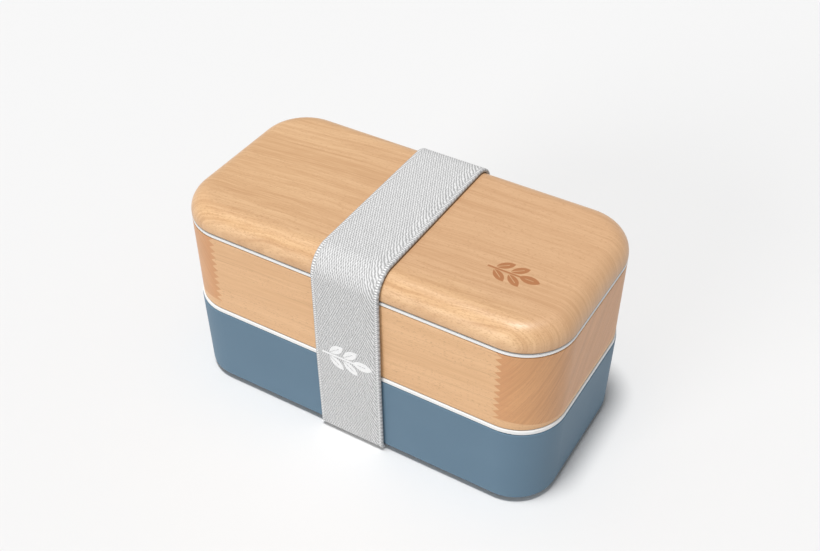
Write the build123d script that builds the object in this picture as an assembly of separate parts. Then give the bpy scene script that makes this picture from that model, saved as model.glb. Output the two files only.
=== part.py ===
from build123d import *
import os

# A stacked lunch box: a lower and an upper tub, each closed by an inner lid, under a rounded cover,
# all held by an elastic band. Millimetres. X runs along the box, -Y is its front, +Z is up.
# The origin is under the middle of the box, on the surface that it stands on.

# Outline of the box from above, at the cover
length = 185.0
depth = 93.7
corner_radius = 23.2

# The band round the box. The box stands on the band's bottom run.
strap_width = 33.0
strap_thickness = 1.8
strap_gap = 0.3
strap_edge_radius = 0.8

# Heights of the stacked pieces, from the bottom up
lower_height = 41.3
lower_rim_height = 2.2
upper_height = 41.4
upper_rim_height = 1.7
cover_height = 10.85
seam_gap = 0.15
cover_gap = 0.25

base_z = strap_thickness + strap_gap
lower_top = base_z + lower_height
lower_rim_z = lower_top + seam_gap
lower_rim_top = lower_rim_z + lower_rim_height
upper_z = lower_rim_top + seam_gap
upper_top = upper_z + upper_height
upper_rim_z = upper_top + seam_gap
upper_rim_top = upper_rim_z + upper_rim_height
cover_z = upper_rim_top + cover_gap
cover_top = cover_z + cover_height

# How far each level's outline stands inside the cover's, and its corner radius
base_level = (1.3, 20.1)
lower_top_level = (0.2, 21.8)
lower_rim_level = (0.35, 21.8)
upper_base_level = (0.7, 21.9)
upper_top_level = (0.0, corner_radius)
upper_rim_level = (0.05, corner_radius)
cover_level = (0.0, corner_radius)

# Tubs
wall = 2.2
base_edge_radius = 1.8
small_edge_radius = 0.5
inner_edge_radius = 4.0
underside_margin = 10.0
underside_depth = 1.0
foot_depth = 3.0
foot_clearance = 0.5
foot_edge_radius = 1.5
foot_inner_radius = 2.5

# Inner lids: a rim on the tub's edge, a plug wall inside its mouth and a sunk floor
plug_clearance = 0.45
lid_wall = 1.8
lid_depth = 8.0
lid_floor = 1.8
lid_inner_radius = 1.5

# Silicone rings in the plug walls
groove_depth = 0.9
groove_height = 2.8
groove_below_rim = 1.6
lip_proud = 0.2
lip_height = 0.6
lip_margin = 0.3

# Silicone plugs that open a hole in each inner lid
valve_x = 60.0
valve_travel = 3.0
valve_head_radius = 7.0
valve_head_height = 1.6
valve_dimple_radius = 4.2
valve_dimple_depth = 0.5
valve_stem_radius = 2.5
valve_fit = 0.05
valve_seat_gap = 0.05
valve_stop_gap = 0.1
valve_barb_radius = 3.8
valve_tip_radius = 2.0
valve_barb_height = 3.0

# Cover
cover_edge_radius = 9.4
cover_wall = 2.2
cover_lip_wall = 1.6
cover_lip_reach = 2.0
cover_lip_clearance = 0.5

# Food cup, standing on the upper tub's floor at its left end
cup_x = -58.0
cup_length = 52.0
cup_depth = 76.0
cup_height = 32.0
cup_radius = 13.0
cup_draft = 1.5
cup_wall = 1.4
cup_rim_width = 1.2
cup_rim_height = 1.4
cup_edge_radius = 2.5
cup_floor_gap = 0.1

# The lapped, sewn join of the band's ends, low on the back
lap_low_z = 20.0
lap_high_z = 33.0
lap_thickness = 0.8
lap_margin = 0.6
stitches_per_row = 9
stitch_inset = 2.2
stitch_length = 2.2
stitch_height = 0.6
stitch_proud = 0.25
stitch_pitch = 3.3


def section(level):
    """Half length, half depth and corner radius of the outline at a level."""
    inset, radius = level
    return length / 2 - inset, depth / 2 - inset, radius


def shrink(outline, distance):
    """The outline that lies the distance inside another."""
    half_x, half_y, radius = outline
    return half_x - distance, half_y - distance, radius - distance


def sheet(outline, z):
    """A flat rounded rectangle at a height."""
    half_x, half_y, radius = outline
    return Plane.XY.offset(z) * RectangleRounded(2 * half_x, 2 * half_y, radius)


def prism(outline, low, high):
    """An upright solid of one outline between two heights."""
    return extrude(sheet(outline, low), high - low)


def tub(low_outline, low, high_outline, high):
    """A solid whose sides run straight from one outline to another."""
    return loft([sheet(low_outline, low), sheet(high_outline, high)], ruled=True)


def top_edges(solid):
    return solid.faces().sort_by(Axis.Z)[-1].edges()


def bottom_edges(solid):
    return solid.faces().sort_by(Axis.Z)[0].edges()


def between(low_outline, high_outline, share):
    """The outline at a share of the way up a tub's side."""
    return tuple(a + (b - a) * share for a, b in zip(low_outline, high_outline))


# The mouths that the inner lids plug, and the recesses that the pieces above them sit in
lower_mouth = shrink(section(lower_top_level), wall)
upper_mouth = shrink(section(upper_top_level), wall)
lower_recess = shrink(lower_mouth, plug_clearance + lid_wall)
upper_recess = shrink(upper_mouth, plug_clearance + lid_wall)
foot_outline = shrink(lower_recess, foot_clearance)


def make_lower_container():
    """A tub with a shallow recess under its base, so that it stands on a flat ring."""
    low = section(base_level)
    high = section(lower_top_level)
    body = tub(low, base_z, high, lower_top)
    body = fillet(bottom_edges(body), base_edge_radius)
    body = fillet(top_edges(body), small_edge_radius)
    floor_z = base_z + underside_depth + wall
    floor_outline = shrink(between(low, high, (floor_z - base_z) / lower_height), wall)
    hollow = tub(floor_outline, floor_z, lower_mouth, lower_top)
    hollow = fillet(bottom_edges(hollow), inner_edge_radius)
    underside = prism(shrink(low, underside_margin), base_z, base_z + underside_depth)
    return body - hollow - underside


def make_upper_container():
    """A tub whose base steps in to a foot that sits in the lower inner lid."""
    low = section(upper_base_level)
    high = section(upper_top_level)
    body = tub(low, upper_z, high, upper_top)
    body = fillet(bottom_edges(body), small_edge_radius)
    body = fillet(top_edges(body), small_edge_radius)
    foot_z = upper_z - foot_depth
    foot = prism(foot_outline, foot_z, upper_z + wall)
    foot = fillet(bottom_edges(foot), foot_edge_radius)
    shoulder_z = upper_z + wall
    shoulder_outline = shrink(between(low, high, wall / upper_height), wall)
    hollow = tub(shoulder_outline, shoulder_z, upper_mouth, upper_top)
    foot_hollow = prism(shrink(foot_outline, wall), foot_z + wall, shoulder_z)
    foot_hollow = fillet(bottom_edges(foot_hollow), foot_inner_radius)
    return body + foot - hollow - foot_hollow


def make_inner_lid(rim_outline, mouth, rim_z, rim_top):
    """A white sealing lid with a groove for its ring and a hole for its valve."""
    floor_z = rim_top - lid_depth
    plug_outline = shrink(mouth, plug_clearance)
    rim = prism(rim_outline, rim_z, rim_top)
    rim = fillet(top_edges(rim) + bottom_edges(rim), small_edge_radius)
    plug = prism(plug_outline, floor_z - lid_floor, rim_z + small_edge_radius)
    plug = fillet(bottom_edges(plug), small_edge_radius)
    recess = prism(shrink(plug_outline, lid_wall), floor_z, rim_top)
    recess = fillet(bottom_edges(recess), lid_inner_radius)
    groove_top = rim_z - groove_below_rim
    groove = ring(plug_outline, groove_depth, groove_top - groove_height, groove_top)
    hole = Cylinder(valve_stem_radius + valve_fit, 2 * lid_depth)
    return rim + plug - recess - groove - Pos(valve_x, 0, floor_z) * hole


def ring(outline, width, low, high):
    """An upright ring that lies inside an outline."""
    return prism(outline, low, high) - prism(shrink(outline, width), low, high)


def make_gasket(mouth, rim_z):
    """A silicone ring that fills its groove and has two thin lips."""
    plug_outline = shrink(mouth, plug_clearance)
    groove_top = rim_z - groove_below_rim
    groove_low = groove_top - groove_height
    gasket = ring(plug_outline, groove_depth, groove_low, groove_top)
    lip_outline = shrink(plug_outline, -lip_proud)
    for lip_low in (groove_low + lip_margin, groove_top - lip_margin - lip_height):
        gasket += ring(lip_outline, groove_depth, lip_low, lip_low + lip_height)
    return gasket


def make_valve(rim_top):
    """A captive silicone plug: a dished head, a stem and a barb under the lid."""
    floor_z = rim_top - lid_depth
    head_z = floor_z + valve_seat_gap
    head = Cylinder(valve_head_radius, valve_head_height, align=(Align.CENTER, Align.CENTER, Align.MIN))
    head = fillet(top_edges(head), small_edge_radius)
    dimple = Cylinder(valve_dimple_radius, valve_dimple_depth, align=(Align.CENTER, Align.CENTER, Align.MAX))
    stem_length = valve_seat_gap + lid_floor + valve_travel + valve_stop_gap
    stem = Cylinder(valve_stem_radius, stem_length, align=(Align.CENTER, Align.CENTER, Align.MAX))
    barb = Cone(
        valve_tip_radius,
        valve_barb_radius,
        valve_barb_height,
        align=(Align.CENTER, Align.CENTER, Align.MAX),
    )
    plug = head + stem + Pos(0, 0, -stem_length) * barb - Pos(0, 0, valve_head_height) * dimple
    return Pos(valve_x, 0, head_z) * plug


def make_cover():
    """A hollow cover with large round edges and a rib that drops into the upper lid's recess."""
    outline = section(cover_level)
    shell = prism(outline, cover_z, cover_top)
    shell = fillet(top_edges(shell), cover_edge_radius)
    shell = fillet(bottom_edges(shell), small_edge_radius)
    ceiling_z = cover_top - cover_wall
    hollow = prism(shrink(outline, cover_wall), cover_z, ceiling_z)
    hollow = fillet(top_edges(hollow), cover_edge_radius - cover_wall)
    rib_outline = shrink(upper_recess, cover_lip_clearance)
    rib = ring(rib_outline, cover_lip_wall, cover_z - cover_lip_reach, ceiling_z)
    return shell - hollow + rib


def make_food_cup():
    """An open cup with a small rolled rim."""
    low_z = upper_z - foot_depth + wall + cup_floor_gap
    high_z = low_z + cup_height
    high = (cup_length / 2, cup_depth / 2, cup_radius)
    low = shrink(high, cup_draft)
    body = tub(low, low_z, high, high_z)
    body = fillet(bottom_edges(body), cup_edge_radius)
    rim = prism(shrink(high, -cup_rim_width), high_z - cup_rim_height, high_z)
    rim = fillet(top_edges(rim) + bottom_edges(rim), small_edge_radius)
    hollow_low = between(low, high, cup_wall / cup_height)
    hollow = tub(shrink(hollow_low, cup_wall), low_z + cup_wall, shrink(high, cup_wall), high_z)
    hollow = fillet(bottom_edges(hollow), cup_edge_radius)
    return Pos(cup_x, 0, 0) * (body + rim - hollow)


def loop_face(distance):
    """The stack's cross-section with its round corners, grown by a distance."""
    base_y = depth / 2 - base_level[0]
    lower_y = depth / 2 - lower_top_level[0]
    right = [(base_y, base_z), (lower_y, lower_top), (depth / 2, upper_top), (depth / 2, cover_top)]
    left = [(-y, z) for y, z in reversed(right)]
    outline = make_face(Polyline(*right, *left, close=True))
    grown = offset(outline, distance, kind=Kind.INTERSECTION)
    corners = grown.vertices().sort_by(Axis.Y)
    grown = fillet(corners[-2:], cover_edge_radius + distance)
    corners = grown.vertices().sort_by(Axis.Y)
    return fillet(corners[:2], base_edge_radius + distance)


def loop(inner, outer, width):
    """A closed band between two distances from the stack."""
    face = loop_face(outer) - loop_face(inner)
    upright = Plane.YZ * face
    return extrude(upright, width / 2, both=True)


def make_strap():
    """The elastic band, with rounded edges and its lapped end on the back."""
    outer = strap_gap + strap_thickness
    band = loop(strap_gap, outer, strap_width)
    edges = band.faces().filter_by(Axis.X).edges()
    band = fillet(edges, strap_edge_radius)
    lap_width = strap_width - 2 * lap_margin
    lap = loop(outer, outer + lap_thickness, lap_width) & lap_zone(lap_width, lap_low_z, lap_high_z)
    return band + lap


def lap_zone(width, low, high):
    """The block behind the box that a piece of the lapped join is cut out with."""
    return Pos(0, depth / 2, (low + high) / 2) * Box(width, depth / 2, high - low)


def make_stitches():
    """Rows of thread on the outside of the lapped join."""
    surface = strap_gap + strap_thickness + lap_thickness
    thread = loop(surface, surface + stitch_proud, strap_width)
    rows = [lap_low_z + stitch_inset, lap_high_z - stitch_inset]
    first_x = -stitch_pitch * (stitches_per_row - 1) / 2
    stitches = []
    for z in rows:
        for number in range(stitches_per_row):
            zone = lap_zone(stitch_length, z - stitch_height / 2, z + stitch_height / 2)
            stitches += (thread & Pos(first_x + number * stitch_pitch, 0, 0) * zone).solids()
    return Compound(stitches)


nodes = {
    "lower_container": make_lower_container(),
    "lower_inner_lid": make_inner_lid(section(lower_rim_level), lower_mouth, lower_rim_z, lower_rim_top),
    "lower_lid_gasket": make_gasket(lower_mouth, lower_rim_z),
    "lower_lid_valve": make_valve(lower_rim_top),
    "upper_container": make_upper_container(),
    "food_cup": make_food_cup(),
    "upper_inner_lid": make_inner_lid(section(upper_rim_level), upper_mouth, upper_rim_z, upper_rim_top),
    "upper_lid_gasket": make_gasket(upper_mouth, upper_rim_z),
    "upper_lid_valve": make_valve(upper_rim_top),
    "top_cover": make_cover(),
    "elastic_strap": make_strap(),
    "strap_seam_stitches": make_stitches(),
}

os.makedirs("parts", exist_ok=True)
for name, shape in nodes.items():
    export_step(shape, f"parts/{name}.step")
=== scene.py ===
import math

import bmesh
import bpy
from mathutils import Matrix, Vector


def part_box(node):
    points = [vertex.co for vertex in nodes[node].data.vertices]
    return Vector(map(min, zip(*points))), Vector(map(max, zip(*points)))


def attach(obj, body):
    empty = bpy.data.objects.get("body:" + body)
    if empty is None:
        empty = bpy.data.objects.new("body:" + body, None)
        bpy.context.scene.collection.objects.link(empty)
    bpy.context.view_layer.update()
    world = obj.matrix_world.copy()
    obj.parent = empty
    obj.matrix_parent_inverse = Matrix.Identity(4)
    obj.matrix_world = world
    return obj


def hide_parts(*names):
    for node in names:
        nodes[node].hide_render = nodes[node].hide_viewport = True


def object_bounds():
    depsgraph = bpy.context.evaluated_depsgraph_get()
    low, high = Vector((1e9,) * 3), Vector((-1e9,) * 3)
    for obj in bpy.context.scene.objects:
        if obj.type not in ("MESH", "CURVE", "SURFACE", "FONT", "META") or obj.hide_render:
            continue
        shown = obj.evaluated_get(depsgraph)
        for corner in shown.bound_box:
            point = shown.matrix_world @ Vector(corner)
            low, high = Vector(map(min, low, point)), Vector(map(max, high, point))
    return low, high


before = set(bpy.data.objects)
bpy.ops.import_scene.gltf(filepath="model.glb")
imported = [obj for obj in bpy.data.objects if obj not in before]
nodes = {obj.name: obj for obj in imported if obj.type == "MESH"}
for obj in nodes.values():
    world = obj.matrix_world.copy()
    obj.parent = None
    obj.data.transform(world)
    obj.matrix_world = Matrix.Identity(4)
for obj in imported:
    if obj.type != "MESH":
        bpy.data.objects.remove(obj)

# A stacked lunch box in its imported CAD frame. Metres. X runs along the box, -Y is its front, +Z is up.
# Patterns are worked out in millimetres of each piece's own coordinates, so that they move with it.

MM = 0.001
cad_low, cad_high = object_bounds()

# Places of the pieces, from the CAD
base_low, base_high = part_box("lower_container")
tub_low, tub_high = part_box("upper_container")
_, upper_rim_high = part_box("upper_inner_lid")
_, cover_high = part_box("top_cover")
strap_low, strap_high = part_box("elastic_strap")
stitches_low, stitches_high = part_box("strap_seam_stitches")
strap_width = strap_high.x - strap_low.x
half_length = cover_high.x
half_depth = cover_high.y

# The stack's rounded shape, repeated from the CAD, in millimetres
CORNER_RADIUS = 23.2
COVER_EDGE = 9.4

# How far the upper tub's printed wall starts above its foot, in millimetres
TUB_FOOT = 3.0

# The strap's shape: its gap from the stack, its thickness, how far the lower tub's foot and top stand in
# from the stack's side, the bends' radii and the mesh's steps
STRAP_GAP = 0.3 * MM
STRAP_THICK = 1.8 * MM
BASE_INSET = 1.3 * MM
LOWER_INSET = 0.2 * MM
COVER_ROUND = COVER_EDGE * MM
BASE_ROUND = 1.8 * MM
GENTLE_BEND = 0.3
STEP = 0.275 * MM
FLAT_STEPS = 22
EDGE_STEPS = 8
FLAT_SHARE = 0.93

# The strap's beads: their spacing in millimetres, then how wide and how swollen the beaded edge is
BEAD_PITCH = 1.1
BEAD_WIDE = 1.6 * MM
BEAD_RISE = 0.8 * MM
BEAD_SWELL = 0.14

# The strap's lapped end, with the shift of its weave in metres of the map, and its stitches
LAP_THICK = 0.8 * MM
LAP_MARGIN = 0.6 * MM
LAP_END = 1.9 * MM
LAP_SHIFT = 0.0374
STITCHES = 9
STITCH_LONG = 2.2 * MM
STITCH_DIP = 0.35 * MM
STITCH_TAPER = 0.35
STITCH_RINGS = 13
RING_POINTS = 12
THREAD_RADIUS = 0.3 * MM
THREAD_PLIES = 3
PLY_DEPTH = 0.12
PLY_TWIST = 9

# Units of the band's own texture map to a metre across it; along it they are metres
MAP_ACROSS = 10

# The weave, in millimetres across and along the band
GRAIN_ACROSS = 1.12
GRAIN_ALONG = 1.2
SHEAR_FROM = 9.0
SHEAR = 0.045
BEADS_FROM = 14.3
SIDE_FROM = 15.7

# The sprigs, in millimetres: the cover's by its place, the strap's by its height up the front
COVER_MARK = (60.0, -15.6)
COVER_MARK_HALF = 11.5
STRAP_MARK_HALF = 12.5
STRAP_MARK_UP = 52.5


# ---------------------------------------------------------------- node helpers


class Graph:
    """One material's node tree, with short calls for the nodes that the patterns use."""

    def __init__(self, name):
        self.material = bpy.data.materials.new(name)
        self.material.use_nodes = True
        self.tree = self.material.node_tree
        self.shader = self.tree.nodes["Principled BSDF"]

    def link(self, source, socket):
        """Connects an output, or sets a plain value, on an input."""
        if isinstance(source, bpy.types.NodeSocket):
            self.tree.links.new(source, socket)
        else:
            socket.default_value = source

    def set(self, **values):
        """Plain values on the shader's own sockets, with _ for each space in the name."""
        for name, value in values.items():
            self.shader.inputs[name.replace("_", " ")].default_value = value

    def math(self, operation, *values, clamp=False):
        node = self.tree.nodes.new("ShaderNodeMath")
        node.operation = operation
        node.use_clamp = clamp
        for value, socket in zip(values, node.inputs):
            self.link(value, socket)
        return node.outputs[0]

    def add(self, a, b):
        return self.math("ADD", a, b)

    def sub(self, a, b):
        return self.math("SUBTRACT", a, b)

    def mul(self, a, b):
        return self.math("MULTIPLY", a, b)

    def step(self, value, low, high, smooth=True):
        """0 below low and 1 above high, which may be the other way round."""
        node = self.tree.nodes.new("ShaderNodeMapRange")
        node.interpolation_type = "SMOOTHSTEP" if smooth else "LINEAR"
        rising = low < high
        self.link(value, node.inputs["Value"])
        node.inputs["From Min"].default_value = low if rising else high
        node.inputs["From Max"].default_value = high if rising else low
        node.inputs["To Min"].default_value = 0.0 if rising else 1.0
        node.inputs["To Max"].default_value = 1.0 if rising else 0.0
        return node.outputs["Result"]

    def split(self, vector):
        node = self.tree.nodes.new("ShaderNodeSeparateXYZ")
        self.link(vector, node.inputs[0])
        return node.outputs[0], node.outputs[1], node.outputs[2]

    def join(self, x, y, z):
        node = self.tree.nodes.new("ShaderNodeCombineXYZ")
        for value, socket in zip((x, y, z), node.inputs):
            self.link(value, socket)
        return node.outputs[0]

    def object_mm(self):
        """The piece's own coordinates in millimetres."""
        coordinates = self.tree.nodes.new("ShaderNodeTexCoord")
        scale = self.tree.nodes.new("ShaderNodeVectorMath")
        scale.operation = "SCALE"
        scale.inputs["Scale"].default_value = 1 / MM
        self.link(coordinates.outputs["Object"], scale.inputs[0])
        return self.split(scale.outputs[0])

    def noise(self, x, y, z, scale=1.0, detail=2.0, roughness=0.5):
        """Smooth noise about 0.5, at scale cells to the millimetre of the coordinates given."""
        node = self.tree.nodes.new("ShaderNodeTexNoise")
        self.link(self.join(x, y, z), node.inputs["Vector"])
        node.inputs["Scale"].default_value = scale
        node.inputs["Detail"].default_value = detail
        node.inputs["Roughness"].default_value = roughness
        return node.outputs["Fac"]

    def mix(self, share, a, b):
        """Colour a at share 0, b at share 1."""
        node = self.tree.nodes.new("ShaderNodeMix")
        node.data_type = "RGBA"
        for value, socket in zip((share, a, b), (node.inputs[0], node.inputs[6], node.inputs[7])):
            self.link((*value, 1.0) if isinstance(value, tuple) else value, socket)
        return node.outputs[2]

    def bump(self, height, distance, strength=1.0):
        node = self.tree.nodes.new("ShaderNodeBump")
        node.inputs["Distance"].default_value = distance
        node.inputs["Strength"].default_value = strength
        self.link(height, node.inputs["Height"])
        self.link(node.outputs[0], self.shader.inputs["Normal"])


def linear(red, green, blue):
    """A linear colour from the 0 to 255 values that a screen shows."""
    shares = [value / 255 for value in (red, green, blue)]
    return tuple(v / 12.92 if v <= 0.04045 else ((v + 0.055) / 1.055) ** 2.4 for v in shares)


# ---------------------------------------------------------------- wood look

WOOD_LIGHT = linear(219, 177, 136)
WOOD_DARK = linear(203, 159, 118)
WOOD_LINE = linear(184, 137, 96)
# The paler tones of the cover's front edge and left end: partly the print's own, partly painted sheen and
# painted light
PALE_SHEEN_LIGHT = linear(233, 193, 147)
PALE_SHEEN_DARK = linear(205, 160, 115)
# The painted shade's colour, for the dark lines in the gaps next to the rims
PAINTED_SEAM_SHADE = linear(84, 68, 56)
FRONT_LIGHT = linear(237, 191, 143)
FRONT_DARK = linear(222, 174, 126)
CORNER_LIGHT = linear(223, 166, 114)
CORNER_DARK = linear(206, 149, 100)
CORNER_LINE = linear(192, 138, 95)
CORNER_WARM = linear(212, 150, 101)
PRINT_BACK = linear(238, 232, 222)
PRINT_BACK_DARK = linear(230, 223, 212)
COVER_MARK_BROWN = linear(174, 112, 68)

# The print's depth on the plain plastic, and the width over which it ends, in millimetres
PRINT_DEPTH = 1.05
PRINT_BLUR = 0.2


def ring_distance(graph, along, across, deep, pith, wander):
    """How far each point of a board is from the pith, which runs along the board at
    pith = (across, deep) and wanders lazily by up to about half of wander."""
    bend = graph.noise(along, graph.mul(across, 0.35), deep, scale=0.0075, detail=0.0)
    sway = graph.noise(along, graph.mul(across, 0.6), deep, scale=0.035, detail=1.0)
    shift = graph.mul(graph.sub(bend, 0.5), wander)
    shift = graph.add(shift, graph.mul(graph.sub(sway, 0.5), wander * 0.09))
    side = graph.sub(across, pith[0])
    down = graph.sub(deep, pith[1])
    radius = graph.math("SQRT", graph.add(graph.mul(side, side), graph.mul(down, down)))
    return graph.add(radius, shift)


def wood(graph, along, across, deep, pith, wander, light, dark, line, contrast=1.0, pores=0.0):
    """A board's colour and the height of its grain: soft bands, streaks, fine fibres, a few thin
    dark growth lines and short flecks, all following the distance from the pith. A contrast above
    1 sharpens the bands, and pores, a small number or a pattern, adds flecks."""
    ring = ring_distance(graph, along, across, deep, pith, wander)
    broad = graph.noise(graph.mul(along, 0.05), ring, 0.0, scale=0.09, detail=1.0)
    streak = graph.noise(graph.mul(along, 0.022), ring, 7.0, scale=0.6, detail=3.0, roughness=0.66)
    fibre = graph.noise(graph.mul(along, 0.05), ring, 13.0, scale=2.1, detail=2.0, roughness=0.6)
    tone = graph.add(graph.mul(broad, 0.26), graph.add(graph.mul(streak, 0.4), graph.mul(fibre, 0.34)))
    tone = graph.step(tone, 0.5 - 0.17 / contrast, 0.5 + 0.17 / contrast)
    colour = graph.mix(tone, dark, light)
    level = graph.noise(graph.mul(along, 0.009), ring, 21.0, scale=0.28, detail=2.0)
    near = graph.math("ABSOLUTE", graph.sub(graph.math("FRACT", graph.mul(level, 7.0)), 0.5))
    lines = graph.mul(graph.step(near, 0.13, 0.0), graph.step(streak, 0.62, 0.42))
    colour = graph.mix(graph.mul(lines, 0.32), colour, line)
    fleck = graph.add(graph.noise(graph.mul(along, 0.36), ring, deep, scale=2.3, detail=1.0), pores)
    flecks = graph.mul(graph.step(fleck, 0.61, 0.7), graph.step(broad, 0.3, 0.5))
    colour = graph.mix(graph.mul(flecks, 0.42), colour, line)
    height = graph.sub(graph.mul(fibre, 0.6), graph.add(graph.mul(lines, 0.3), graph.mul(flecks, 0.4)))
    return colour, height


def satin(graph, height, depth, rough, spread, noise):
    """A satin sheen that varies a little, over a faint relief."""
    varied = graph.add(rough, graph.mul(graph.sub(noise, 0.5), spread))
    graph.link(varied, graph.shader.inputs["Roughness"])
    graph.bump(height, depth)


def wall_depth(graph, x, y, z, top, edge):
    """How deep a point is, in millimetres and negative inwards, under the outside of a round-cornered
    box as wide as the stack. Its upper edge at top is rounded by edge; there is no lower end."""
    over_x = graph.sub(graph.math("ABSOLUTE", x), half_length / MM - CORNER_RADIUS)
    over_y = graph.sub(graph.math("ABSOLUTE", y), half_depth / MM - CORNER_RADIUS)
    out_x = graph.math("MAXIMUM", over_x, 0.0)
    out_y = graph.math("MAXIMUM", over_y, 0.0)
    out = graph.math("SQRT", graph.add(graph.mul(out_x, out_x), graph.mul(out_y, out_y)))
    within = graph.math("MINIMUM", graph.math("MAXIMUM", over_x, over_y), 0.0)
    side = graph.add(graph.add(out, within), edge - CORNER_RADIUS)
    up = graph.sub(z, top - edge)
    side_out = graph.math("MAXIMUM", side, 0.0)
    up_out = graph.math("MAXIMUM", up, 0.0)
    reach = graph.math("SQRT", graph.add(graph.mul(side_out, side_out), graph.mul(up_out, up_out)))
    inner = graph.math("MINIMUM", graph.math("MAXIMUM", side, up), 0.0)
    return graph.sub(graph.add(reach, inner), edge)


def painted_seam_shade(graph, colour, z, edge, width, strength):
    """Painted shade: darkens the print next to a piece's edge, where it meets a rim, standing in for the
    shadow in the gap between the parts, over a width that is negative downwards."""
    share = graph.step(z, edge + width, edge + width * 0.4)
    return graph.mix(graph.mul(share, strength), colour, PAINTED_SEAM_SHADE)


def plain_inside(graph, colour, depth, x, y, z):
    """Leaves the print on the outside only, over the plain plastic of the inside and the rim."""
    cloud = graph.noise(x, y, z, scale=0.05, detail=2.0)
    plain = graph.mix(cloud, PRINT_BACK, PRINT_BACK_DARK)
    printed = graph.step(depth, -PRINT_DEPTH - PRINT_BLUR, -PRINT_DEPTH)
    return graph.mix(printed, plain, colour)


# ---------------------------------------------------------------- emblem

# A sprig's leaves as (along, aside, turn in degrees, half length, half width), in shares of its half length
LEAVES = [
    (0.62, 0.0, 0, 0.4, 0.2),
    (0.13, 0.3, 38, 0.36, 0.17),
    (0.13, -0.3, -38, 0.36, 0.17),
    (-0.44, 0.3, 38, 0.36, 0.17),
    (-0.44, -0.3, -38, 0.36, 0.17),
]


def leaf(graph, a, b, half_long, half_wide):
    """1 inside a pointed leaf that lies along a, but for its midrib, else 0."""
    radius = (half_long**2 + half_wide**2) / (2 * half_wide)
    width = graph.math("ABSOLUTE", b)
    lifted = graph.add(width, radius - half_wide)
    reach = graph.math("SQRT", graph.add(graph.mul(a, a), graph.mul(lifted, lifted)))
    blade = graph.step(reach, radius + 0.05, radius - 0.05)
    midrib = graph.mul(graph.step(width, 0.2, 0.12), graph.step(a, half_long * 0.4, half_long * 0.35))
    return graph.mul(blade, graph.sub(1.0, midrib))


def sprig(graph, x, y, centre, half):
    """1 inside a plain sprig of leaves that points along x, half its length each way from a centre."""
    a = graph.sub(x, centre[0])
    b = graph.sub(y, centre[1])
    stem = graph.step(graph.math("ABSOLUTE", b), 0.05 * half, 0.035 * half)
    stem = graph.mul(stem, graph.step(a, -1.02 * half, -1.0 * half))
    mask = graph.mul(stem, graph.step(a, 0.5 * half, 0.4 * half))
    for along, aside, turn, half_long, half_wide in LEAVES:
        cosine = math.cos(math.radians(turn))
        sine = math.sin(math.radians(turn))
        da = graph.sub(a, along * half)
        db = graph.sub(b, aside * half)
        leaf_a = graph.add(graph.mul(da, cosine), graph.mul(db, sine))
        leaf_b = graph.sub(graph.mul(db, cosine), graph.mul(da, sine))
        blade = leaf(graph, leaf_a, leaf_b, half_long * half, half_wide * half)
        mask = graph.math("MAXIMUM", mask, blade)
    return mask


# ---------------------------------------------------------------- materials


def cover_wood():
    graph = Graph("beech_cover")
    x, y, z = graph.object_mm()
    top = cover_high.z / MM
    rim_top = upper_rim_high.z / MM
    front = -half_depth / MM
    # The print is paler, with more pores, along the rounded front edge, partly its own tone and partly a
    # painted sheen, and painted light makes it paler towards the left end
    reach = graph.add(y, graph.mul(graph.noise(x, y, z, scale=0.04, detail=2.0), 14.0))
    pale_print_and_painted_light = graph.mul(graph.step(reach, front + 26, front + 9), graph.step(z, top - 12, top - 5))
    pores = graph.mul(pale_print_and_painted_light, 0.06)
    # Painted light: paler towards the left end
    pale_print_and_painted_light = graph.math("MAXIMUM", pale_print_and_painted_light, graph.mul(graph.step(x, 30, -60), 0.55))
    light = graph.mix(pale_print_and_painted_light, WOOD_LIGHT, PALE_SHEEN_LIGHT)
    dark = graph.mix(pale_print_and_painted_light, WOOD_DARK, PALE_SHEEN_DARK)
    colour, height = wood(
        graph, x, y, z, pith=(105, top - 14), wander=34, light=light, dark=dark, line=WOOD_LINE, pores=pores
    )
    # Painted shade: a thin dark line along the cover's foot, where it sits above the upper rim
    colour = painted_seam_shade(graph, colour, z, rim_top, width=1.15, strength=0.95)
    mark = sprig(graph, x, y, COVER_MARK, COVER_MARK_HALF)
    colour = graph.mix(graph.mul(mark, 0.9), colour, COVER_MARK_BROWN)
    depth = wall_depth(graph, x, y, z, top, COVER_EDGE)
    graph.link(plain_inside(graph, colour, depth, x, y, z), graph.shader.inputs["Base Color"])
    gloss = graph.noise(graph.mul(x, 0.1), y, z, scale=0.4)
    satin(graph, height, depth=0.00004, rough=0.4, spread=0.12, noise=gloss)
    return graph.material


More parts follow.
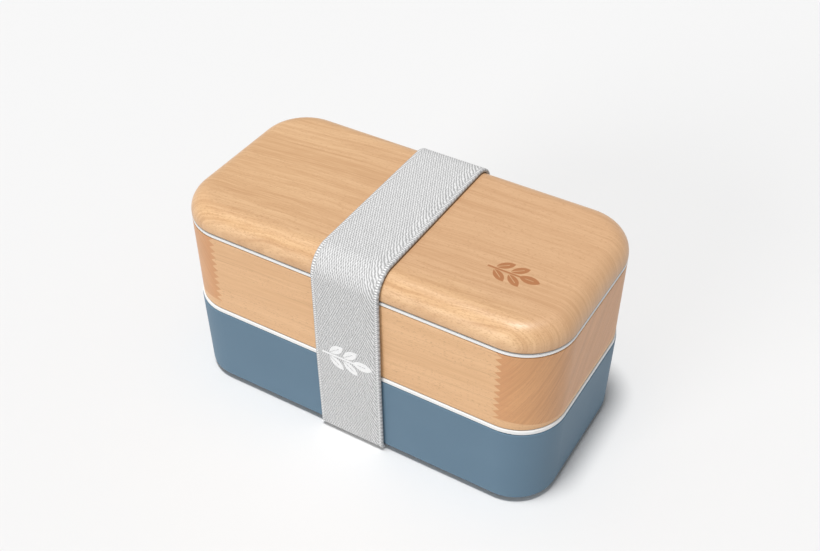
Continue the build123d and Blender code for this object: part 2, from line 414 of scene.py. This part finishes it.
def tub_wood():
    """Boards with level grain on the long sides, joined by a row of pointed fingers to corner and
    end boards with slanting grain. A strip of level grain runs round the foot, a little
    taller at the fingers."""
    graph = Graph("beech_tub")
    x, y, z = graph.object_mm()
    low = tub_low.z / MM + TUB_FOOT
    high = tub_high.z / MM
    reach = graph.math("ABSOLUTE", x)
    end = half_length / MM
    side = graph.math("SIGN", y)
    round_corner = graph.add(y, graph.mul(side, graph.sub(end, reach)))
    long_colour, long_height = wood(
        graph, x, z, y, pith=(low - 160, -60), wander=26,
        light=FRONT_LIGHT, dark=FRONT_DARK, line=WOOD_LINE, contrast=0.8,
    )
    slant = math.radians(50)
    along = graph.add(graph.mul(round_corner, math.cos(slant)), graph.mul(z, math.sin(slant)))
    across = graph.sub(graph.mul(z, math.cos(slant)), graph.mul(round_corner, math.sin(slant)))
    deep = graph.mul(reach, 0.2)
    end_colour, end_height = wood(
        graph, along, across, deep, pith=(-190, 10), wander=14,
        light=CORNER_LIGHT, dark=CORNER_DARK, line=CORNER_LINE, contrast=1.1,
    )
    teeth = 10.0
    tooth = 3.0
    joint = end - 23.6
    strip = 2.4
    slope = 2.4
    tooth_foot = low + strip + slope
    share = graph.mul(graph.sub(z, tooth_foot), teeth / (high - tooth_foot))
    zigzag = graph.math("PINGPONG", share, 0.5)
    edge = graph.add(graph.mul(zigzag, 2 * tooth), joint)
    past = graph.sub(reach, edge)
    turned = graph.add(graph.sub(reach, joint), graph.sub(half_depth / MM, graph.math("ABSOLUTE", y)))
    rise = graph.mul(graph.step(turned, 34.0, 2.0), slope)
    above = graph.sub(z, graph.add(rise, low + strip))
    board = graph.mul(graph.step(past, -0.15, 0.15), graph.step(above, -0.2, 0.2))
    warm = graph.mul(graph.step(past, 9.0, 0.0), 0.5)
    end_colour = graph.mix(warm, end_colour, CORNER_WARM)
    colour = graph.mix(board, long_colour, end_colour)
    # Painted shade: a faint dark line at the wall's top under the upper rim, and a darker one at its foot
    # above the lower rim
    colour = painted_seam_shade(graph, colour, z, high, width=-0.4, strength=0.2)
    colour = painted_seam_shade(graph, colour, z, low, width=0.55, strength=0.6)
    # The wall's upper edge isn't rounded, so its top is taken far up; the foot below low is plain
    depth = wall_depth(graph, x, y, z, high + 40, 0.5)
    depth = graph.sub(depth, graph.mul(graph.step(z, low, low - 0.2), 4.0))
    graph.link(plain_inside(graph, colour, depth, x, y, z), graph.shader.inputs["Base Color"])
    height = graph.add(graph.mul(long_height, graph.sub(1.0, board)), graph.mul(end_height, board))
    gloss = graph.noise(graph.mul(x, 0.1), y, z, scale=0.4)
    satin(graph, height, depth=0.00003, rough=0.42, spread=0.1, noise=gloss)
    return graph.material


def moulded(name, colour, darker, rough, depth, coarse):
    """Moulded plastic: a fine even texture, a little cloudiness in its colour and its gloss."""
    graph = Graph(name)
    x, y, z = graph.object_mm()
    fine = graph.noise(x, y, z, scale=coarse, detail=2.0, roughness=0.6)
    cloud = graph.noise(x, y, z, scale=0.03, detail=2.0)
    tone = graph.add(graph.mul(cloud, 0.7), graph.mul(fine, 0.3))
    graph.link(graph.mix(graph.step(tone, 0.3, 0.7), colour, darker), graph.shader.inputs["Base Color"])
    satin(graph, fine, depth, rough, spread=0.1, noise=cloud)
    return graph


def blue_plastic():
    light = linear(103, 130, 150)
    dark = linear(100, 127, 147)
    graph = moulded("denim_blue_plastic", light, dark, rough=0.55, depth=0.00003, coarse=2.6)
    graph.set(Specular_IOR_Level=0.25)
    return graph.material


def white_plastic():
    light = linear(243, 243, 242)
    dark = linear(239, 239, 238)
    graph = moulded("white_plastic", light, dark, rough=0.38, depth=0.000012, coarse=1.5)
    return graph.material


def silicone():
    light = linear(226, 230, 231)
    dark = linear(218, 223, 225)
    graph = moulded("pale_silicone", light, dark, rough=0.5, depth=0.00002, coarse=2.0)
    graph.set(Subsurface_Weight=0.35, Subsurface_Scale=0.002, Subsurface_Radius=(1.0, 1.0, 1.0), IOR=1.41)
    return graph.material


def thread():
    light = linear(240, 240, 238)
    dark = linear(222, 222, 220)
    graph = moulded("white_thread", light, dark, rough=0.8, depth=0.00005, coarse=6.0)
    graph.set(Sheen_Weight=0.3, Sheen_Roughness=0.5)
    return graph.material


def webbing(mark_along):
    """Woven elastic: staggered grains that run into slanting ribs near the right edge, white beads
    along both edges and a darker rolled side. The pattern is read from the band's own map, in
    millimetres across and along it. The mark is printed in white at mark_along."""
    graph = Graph("twill_elastic")
    uv = graph.tree.nodes.new("ShaderNodeUVMap")
    uv.uv_map = "band"
    across, along, _ = graph.split(uv.outputs[0])
    across = graph.mul(across, 1 / (MAP_ACROSS * MM))
    along = graph.mul(along, 1 / MM)
    wobble = graph.noise(across, along, 0.0, scale=0.7, detail=1.0)
    shake = graph.noise(across, along, 9.0, scale=0.8, detail=1.0)
    beyond = graph.math("MAXIMUM", graph.sub(across, SHEAR_FROM), 0.0)
    sheared = graph.sub(across, graph.mul(graph.mul(beyond, beyond), SHEAR))
    uneven_across = graph.add(sheared, graph.sub(wobble, 0.5))
    uneven_along = graph.add(along, graph.mul(graph.sub(shake, 0.5), 0.9))
    turn_across = graph.mul(uneven_across, 2 * math.pi / GRAIN_ACROSS)
    turn_along = graph.mul(uneven_along, math.pi / GRAIN_ALONG)
    falling = graph.math("COSINE", graph.add(turn_across, turn_along))
    rising = graph.math("COSINE", graph.sub(turn_across, turn_along))
    share = graph.step(across, 10.0, 7.0)
    falling = graph.mul(falling, graph.sub(0.8, graph.mul(share, 0.16)))
    rising = graph.mul(graph.mul(rising, share), 0.4)
    weave = graph.add(falling, rising)
    fuzz = graph.noise(graph.mul(across, 2.2), graph.mul(along, 0.65), 0.0, scale=3.2, detail=2.0)
    weave = graph.add(graph.mul(weave, 0.5), graph.add(0.5, graph.mul(graph.sub(fuzz, 0.5), 0.5)))
    off = graph.math("ABSOLUTE", across)
    beaded = graph.step(off, BEADS_FROM, BEADS_FROM + 0.4)
    bead = graph.step(graph.math("PINGPONG", graph.mul(along, 1 / BEAD_PITCH), 0.5), 0.08, 0.4)
    bead = graph.mul(bead, graph.step(graph.add(off, graph.sub(fuzz, 0.5)), BEADS_FROM, BEADS_FROM + 0.6))
    rolled = graph.step(off, SIDE_FROM, SIDE_FROM + 0.3)
    height = graph.mix(beaded, weave, bead)
    height = graph.mix(rolled, height, graph.mul(fuzz, 0.5))
    colour = graph.mix(graph.step(weave, 0.08, 0.85), linear(170, 170, 170), linear(231, 231, 231))
    bead_colour = graph.mix(bead, linear(172, 172, 172), linear(248, 248, 248))
    side_colour = graph.mix(graph.step(weave, 0.1, 0.9), linear(166, 167, 168), linear(204, 205, 206))
    colour = graph.mix(beaded, colour, bead_colour)
    colour = graph.mix(rolled, colour, side_colour)
    # Both faces share the map, so the mark is kept to the outer one by its depth behind the front
    _, y, _ = graph.object_mm()
    outside = graph.step(y, strap_low.y / MM + 1.2, strap_low.y / MM + 0.8)
    mark = graph.mul(sprig(graph, across, along, (0.0, mark_along), STRAP_MARK_HALF), outside)
    colour = graph.mix(graph.mul(mark, 0.93), colour, linear(254, 254, 254))
    graph.link(colour, graph.shader.inputs["Base Color"])
    graph.set(Roughness=0.9, Sheen_Weight=0.08, Sheen_Roughness=0.5, Specular_IOR_Level=0.15)
    graph.bump(height, 0.00017)
    return graph.material


# ---------------------------------------------------------------- elastic strap


def stack_outline(distance):
    """The stack's cross-section as corners (y, z) with radii, grown by a distance, clockwise seen
    from the right end and starting at the back's foot."""
    base_y = half_depth - BASE_INSET
    lower_y = half_depth - LOWER_INSET
    low, high = base_low.z, cover_high.z
    return [
        ((base_y + distance, low - distance), BASE_ROUND + distance),
        ((-base_y - distance, low - distance), BASE_ROUND + distance),
        ((-lower_y - distance, base_high.z), GENTLE_BEND),
        ((-half_depth - distance, tub_high.z), GENTLE_BEND),
        ((-half_depth - distance, high + distance), COVER_ROUND + distance),
        ((half_depth + distance, high + distance), COVER_ROUND + distance),
        ((half_depth + distance, tub_high.z), GENTLE_BEND),
        ((lower_y + distance, base_high.z), GENTLE_BEND),
    ]


def rounded_path(corners, step):
    """Points about a step apart round a closed line of rounded corners, with the direction and the
    length so far at each, and the line's whole length."""
    pieces = []
    count = len(corners)
    for i, (corner, radius) in enumerate(corners):
        here = Vector(corner)
        back = (Vector(corners[i - 1][0]) - here).normalized()
        ahead = (Vector(corners[(i + 1) % count][0]) - here).normalized()
        half = back.angle(ahead) / 2
        cut = radius / math.tan(half)
        pieces.append((here + back * cut, here + ahead * cut, radius, math.pi - 2 * half))
    points = []
    for i, (start, end, radius, turn) in enumerate(pieces):
        heading = (start - pieces[i - 1][1]).normalized()
        turned = turn if heading.cross((end - start).normalized()) > 0 else -turn
        normal = Vector((-heading.y, heading.x)) * (1 if turned > 0 else -1)
        centre = start + normal * radius
        steps = max(1, round(radius * turn / step))
        for k in range(steps):
            spin = turned * (k / steps)
            arm = start - centre
            turned_y = arm.x * math.cos(spin) - arm.y * math.sin(spin)
            turned_z = arm.x * math.sin(spin) + arm.y * math.cos(spin)
            points.append(centre + Vector((turned_y, turned_z)))
        following = pieces[(i + 1) % count][0]
        run = (following - end).length
        steps = max(1, round(run / step))
        points += [end.lerp(following, k / steps) for k in range(steps)]
    lengths = [0.0]
    for a, b in zip(points, points[1:]):
        lengths.append(lengths[-1] + (b - a).length)
    total = lengths[-1] + (points[0] - points[-1]).length
    following = points[1:] + points[:1]
    directions = [(after - points[i - 1]).normalized() for i, after in enumerate(following)]
    return points, directions, lengths, total


def band_section(width, thick):
    """The band's cross-section as (across, out) points, with rounded, slightly swollen edges."""
    half = width / 2
    edge = thick / 2
    flat = [half - edge - (2 * (half - edge)) * k / FLAT_STEPS for k in range(FLAT_STEPS + 1)]
    top = [(x, edge * FLAT_SHARE) for x in flat]
    bottom = [(-x, -edge * FLAT_SHARE) for x in flat]
    turns = [math.pi * k / EDGE_STEPS for k in range(1, EDGE_STEPS)]
    left = [(-(half - edge) - edge * math.sin(turn), edge * math.cos(turn)) for turn in turns]
    right = [(-x, -y) for x, y in left]
    return top + left + bottom + right


def mesh_object(name, body, material):
    mesh = bpy.data.meshes.new(name)
    made = bpy.data.objects.new(name, mesh)
    bpy.context.scene.collection.objects.link(made)
    mesh.materials.append(material)
    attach(made, body)
    return made


def lap_lift(point, across, height):
    """How far the lapped end lifts the band's outer face, low on the back."""
    on_lap = point.x > 0 and stitches_low.z - LAP_END < point.y < stitches_high.z + LAP_END
    return LAP_THICK if on_lap and height > 0 and abs(across) < strap_width / 2 - LAP_MARGIN else 0.0


def bead_swell(across, length, total):
    """How much the beaded edge swells at a length along the band."""
    edge = abs(across) - (strap_width / 2 - BEAD_WIDE)
    if edge <= 0:
        return 1.0
    beads = round(total / (BEAD_PITCH * MM))
    wave = abs(math.sin(math.pi * beads * length / total))
    return 1.0 + BEAD_SWELL * min(1.0, edge / BEAD_RISE) * (wave - 0.5)


def make_strap(material):
    """The woven band round the stack, with beads along both edges and a lapped end on the back,
    and the length of its middle line."""
    middle = STRAP_GAP + STRAP_THICK / 2
    points, directions, lengths, total = rounded_path(stack_outline(middle), STEP)
    section = band_section(strap_width, STRAP_THICK)
    strap = mesh_object("woven_strap", "strap", material)
    build = bmesh.new()
    uv = build.loops.layers.uv.new("band")
    rows = []
    for point, direction, length in zip(points, directions, lengths):
        out = Vector((direction.y, -direction.x))
        row = []
        for across, height in section:
            swell = bead_swell(across, length, total)
            place = point + out * (height * swell + lap_lift(point, across, height))
            row.append(build.verts.new((across, place.x, place.y)))
        rows.append(row)
    count, around = len(rows), len(section)
    for i in range(count):
        following = rows[(i + 1) % count]
        next_length = lengths[i + 1] if i + 1 < count else total
        shift = LAP_SHIFT if lap_lift(points[i], 0.0, 1.0) else 0.0
        for k in range(around):
            n = (k + 1) % around
            face = build.faces.new((rows[i][k], rows[i][n], following[n], following[k]))
            face.smooth = True
            reached = (lengths[i], lengths[i], next_length, next_length)
            for loop, length, j in zip(face.loops, reached, (k, n, n, k)):
                loop[uv].uv = (section[j][0] * MAP_ACROSS, length + shift)
    bmesh.ops.recalc_face_normals(build, faces=build.faces)
    build.to_mesh(strap.data)
    build.free()
    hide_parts("elastic_strap")
    return strap, total


def make_stitches(material):
    """Two rows of thread, each stitch a plump arc that dips into the band at both ends."""
    made = mesh_object("seam_stitches", "strap", material)
    build = bmesh.new()
    spare = stitches_high.x - stitches_low.x - STITCH_LONG
    skin = (stitches_low.y + stitches_high.y) / 2
    for z in (stitches_low.z + THREAD_RADIUS, stitches_high.z - THREAD_RADIUS):
        for number in range(STITCHES):
            x = stitches_low.x + STITCH_LONG / 2 + spare * number / (STITCHES - 1)
            rings = []
            for k in range(STITCH_RINGS):
                share = 2 * k / (STITCH_RINGS - 1) - 1
                dip = -STITCH_DIP * share**4
                thin = THREAD_RADIUS * (1 - STITCH_TAPER * share**4)
                centre = Vector((x + share * STITCH_LONG / 2, skin + dip, z))
                ring = []
                for j in range(RING_POINTS):
                    turn = 2 * math.pi * j / RING_POINTS
                    twist = 1 + PLY_DEPTH * math.cos(THREAD_PLIES * turn + PLY_TWIST * share)
                    arm = Vector((0, math.cos(turn), math.sin(turn))) * thin * twist
                    ring.append(build.verts.new(centre + arm))
                rings.append(ring)
            for a, b in zip(rings, rings[1:]):
                for j in range(RING_POINTS):
                    n = (j + 1) % RING_POINTS
                    build.faces.new((a[j], a[n], b[n], b[j])).smooth = True
            build.faces.new(rings[0])
            build.faces.new(rings[-1])
    bmesh.ops.recalc_face_normals(build, faces=build.faces)
    build.to_mesh(made.data)
    build.free()
    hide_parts("strap_seam_stitches")
    return made


# ---------------------------------------------------------------- finishes on the CAD pieces


def give(node, material):
    """Gives a CAD piece one material all over."""
    slots = nodes[node].data.materials
    slots.clear()
    slots.append(material)


white = white_plastic()
pale = silicone()
give("lower_container", blue_plastic())
give("upper_container", tub_wood())
give("top_cover", cover_wood())
for lid in ("lower_inner_lid", "upper_inner_lid", "food_cup"):
    give(lid, white)
for seal in ("lower_lid_gasket", "upper_lid_gasket", "lower_lid_valve", "upper_lid_valve"):
    give(seal, pale)

# The band's length starts at the back's foot, so the mark comes after the run under the box
mark_along = (2 * half_depth - BASE_INSET) / MM + STRAP_MARK_UP - base_low.z / MM
strap, loop_length = make_strap(webbing(mark_along))
stitches = make_stitches(thread())


# ---------------------------------------------------------------- stage, light and camera

FLOOR_HALF = 30.0


def make_floor():
    mesh = bpy.data.meshes.new("floor")
    signs = ((-1, -1), (1, -1), (1, 1), (-1, 1))
    corners = [(FLOOR_HALF * a, FLOOR_HALF * b, cad_low.z) for a, b in signs]
    mesh.from_pydata(corners, [], [(0, 1, 2, 3)])
    floor = bpy.data.objects.new("floor", mesh)
    bpy.context.scene.collection.objects.link(floor)
    graph = Graph("pale_floor")
    graph.set(Base_Color=(0.8, 0.8, 0.8, 1.0), Roughness=1.0, Specular_IOR_Level=0.0)
    mesh.materials.append(graph.material)


def add_sun(name, towards, spread, energy):
    """A far light from the direction towards, as wide as spread in degrees."""
    sun = bpy.data.lights.new(name, "SUN")
    sun.energy = energy
    sun.angle = math.radians(spread)
    lamp = bpy.data.objects.new(name, sun)
    bpy.context.scene.collection.objects.link(lamp)
    lamp.rotation_mode = "QUATERNION"
    lamp.rotation_quaternion = Vector(towards).to_track_quat("Z", "Y")


def make_lights():
    """A soft overhead key, a broad fill from the front left and an even white surround."""
    world = bpy.data.worlds.new("soft_white")
    world.use_nodes = True
    surround = world.node_tree.nodes["Background"]
    surround.inputs["Color"].default_value = (1.0, 1.0, 1.0, 1.0)
    surround.inputs["Strength"].default_value = 0.29
    bpy.context.scene.world = world
    add_sun("overhead_key", towards=(-0.035, -0.09, 0.99), spread=10, energy=2.52)
    add_sun("front_fill", towards=(-0.26, -0.93, 0.25), spread=30, energy=1.02)


def make_camera():
    """Looks down from the front right, at the picture's angle."""
    azimuth = math.radians(30.8)
    elevation = math.radians(40.2)
    distance = 0.52378
    level = math.cos(elevation)
    back = Vector((math.sin(azimuth) * level, -math.cos(azimuth) * level, math.sin(elevation)))
    right = Vector((math.cos(azimuth), math.sin(azimuth), 0.0))
    up = back.cross(right)
    middle = Vector((0, 0, base_low.z + 0.05))
    aim = middle + right * 0.00213 + up * 0.00789
    data = bpy.data.cameras.new("camera")
    data.sensor_width = 36.0
    data.lens = 50.39
    data.clip_start = 0.01
    camera = bpy.data.objects.new("camera", data)
    bpy.context.scene.collection.objects.link(camera)
    camera.location = aim + back * distance
    camera.rotation_mode = "QUATERNION"
    camera.rotation_quaternion = back.to_track_quat("Z", "Y")
    bpy.context.scene.camera = camera


make_floor()
make_lights()
make_camera()
bpy.context.scene.view_settings.view_transform = "Standard"
